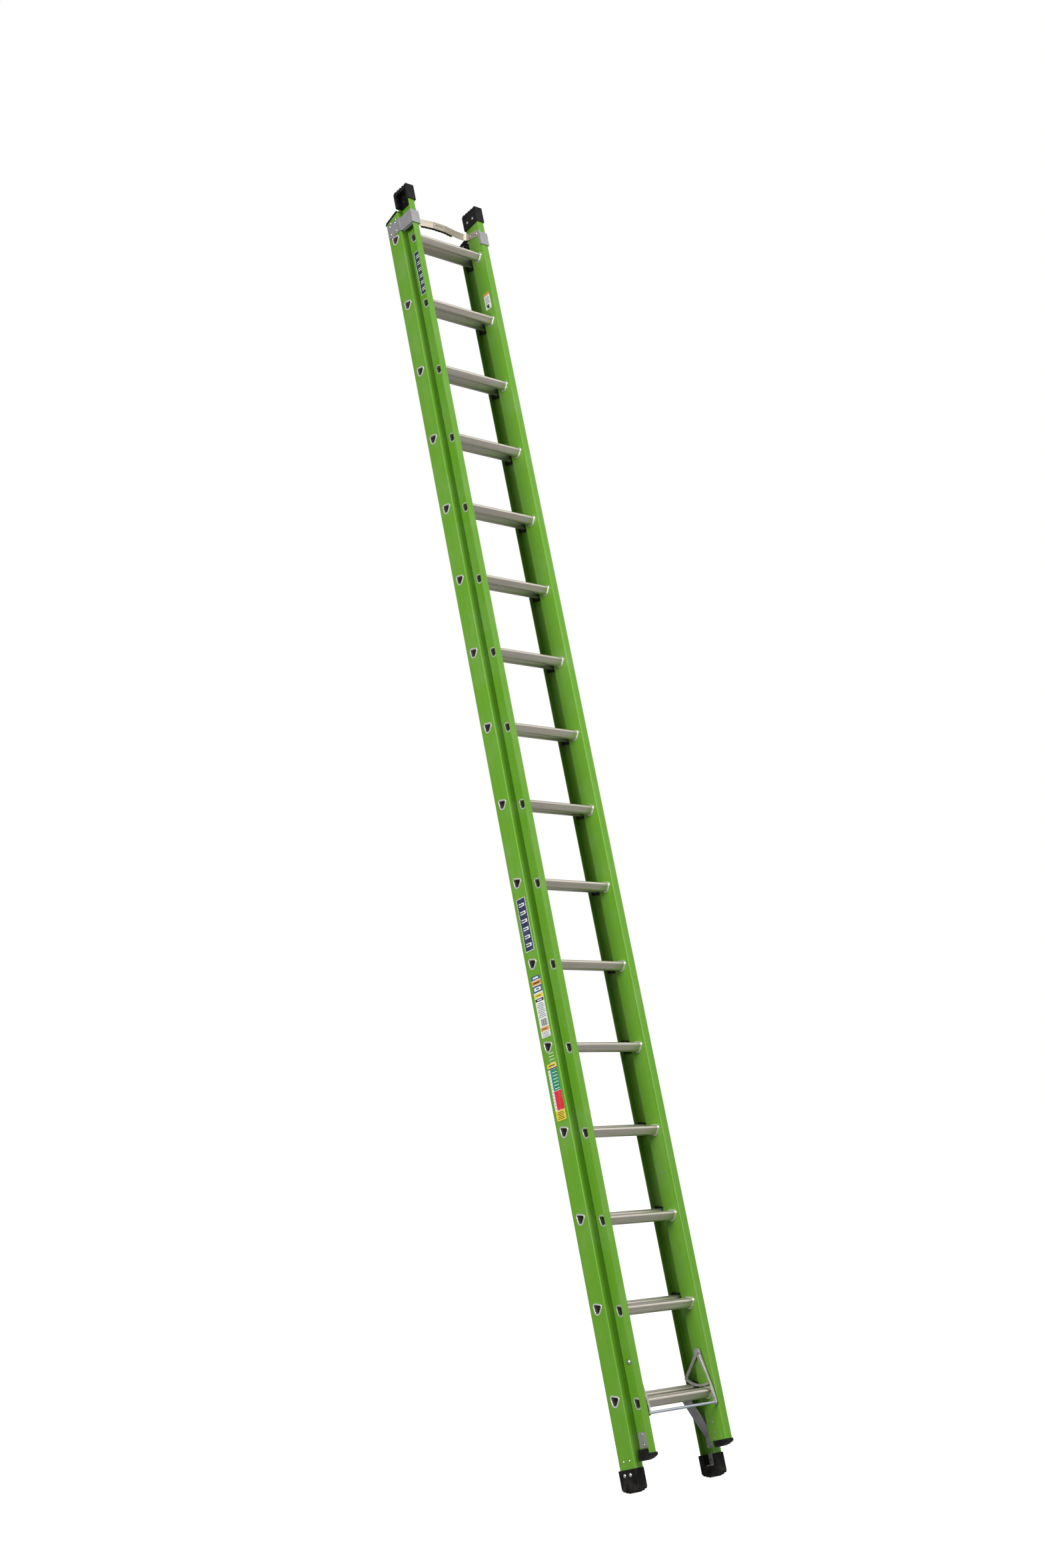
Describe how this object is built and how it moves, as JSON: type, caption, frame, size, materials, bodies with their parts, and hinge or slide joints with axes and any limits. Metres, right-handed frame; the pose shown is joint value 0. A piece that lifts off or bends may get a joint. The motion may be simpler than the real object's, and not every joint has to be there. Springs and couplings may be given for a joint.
{
  "type": "extension ladder",
  "caption": "Two-section fibreglass extension ladder with D-section aluminium rungs, rubber boots, guide brackets, a pole strap and a swinging rung lock.",
  "frame": {"origin": "on the floor midway between the worn flats of the two boots", "axes": "+Z true up, +X to the climber's right, +Y to the wall; the ladder stands at its working slope and leans 15 degrees from the vertical towards +Y"},
  "size_m": [0.43, 1.4093, 4.9331],
  "materials": {
    "fibreglass_green": "satin",
    "rung_aluminium": "mill finish",
    "black_plastic": "satin",
    "black_rubber": "matte",
    "dark_liner": "matte",
    "strap_aluminium": "brushed",
    "grey_aluminium": "satin",
    "cast_lock": "as cast",
    "bright_steel": "zinc plated"
  },
  "bodies": {
    "base": {"base_rail_left": "fibreglass_green", "base_rail_right": "fibreglass_green", "base_rung_01": "rung_aluminium", "base_rung_02": "rung_aluminium", "base_rung_03": "rung_aluminium", "base_rung_04": "rung_aluminium", "base_rung_05": "rung_aluminium", "base_rung_06": "rung_aluminium", "base_rung_07": "rung_aluminium", "base_rung_08": "rung_aluminium", "base_rung_09": "rung_aluminium", "base_rung_10": "rung_aluminium", "base_rung_11": "rung_aluminium", "base_rung_12": "rung_aluminium", "base_rung_13": "rung_aluminium", "base_rung_14": "rung_aluminium", "base_rung_15": "rung_aluminium", "base_rung_16": "rung_aluminium", "base_boot_left": "black_rubber", "base_boot_right": "black_rubber", "foot_plates": "grey_aluminium", "base_brace_left": "grey_aluminium", "base_brace_right": "grey_aluminium", "base_rung_plates": "black_plastic", "guide_bracket_left": "grey_aluminium", "guide_bracket_right": "grey_aluminium", "guide_liners": "dark_liner", "base_end_cap_left": "black_plastic", "base_end_cap_right": "black_plastic", "base_rivets": "bright_steel", "boot_bolts": "bright_steel"},
    "fly": {"fly_rail_left": "fibreglass_green", "fly_rail_right": "fibreglass_green", "fly_rung_01": "rung_aluminium", "fly_rung_02": "rung_aluminium", "fly_rung_03": "rung_aluminium", "fly_rung_04": "rung_aluminium", "fly_rung_05": "rung_aluminium", "fly_rung_06": "rung_aluminium", "fly_rung_07": "rung_aluminium", "fly_rung_08": "rung_aluminium", "fly_rung_09": "rung_aluminium", "fly_rung_10": "rung_aluminium", "fly_rung_11": "rung_aluminium", "fly_rung_12": "rung_aluminium", "fly_rung_13": "rung_aluminium", "fly_rung_14": "rung_aluminium", "fly_rung_15": "rung_aluminium", "fly_rung_16": "rung_aluminium", "fly_cap_left": "black_plastic", "fly_cap_right": "black_plastic", "fly_guide_plates": "grey_aluminium", "fly_end_plugs": "black_plastic", "pole_strap": "strap_aluminium", "pole_strap_rubber": "black_rubber", "fly_rivets": "bright_steel", "lock_pivot_bolts": "bright_steel"},
    "lock": {"lock_arm_left": "cast_lock", "lock_arm_right": "cast_lock", "lock_tie_rod": "bright_steel"}
  },
  "joints": [
    {"name": "fly_slide", "type": "slide", "parent": "base", "child": "fly", "axis": [0, 0.2588, 0.9659], "range_m": [0, 3.66]},
    {"name": "lock_swing", "type": "hinge", "parent": "fly", "child": "lock", "pos_m": [0, 0.02366, 0.41574], "axis": [-1, 0, 0], "range_deg": [0, 26]}
  ]
}
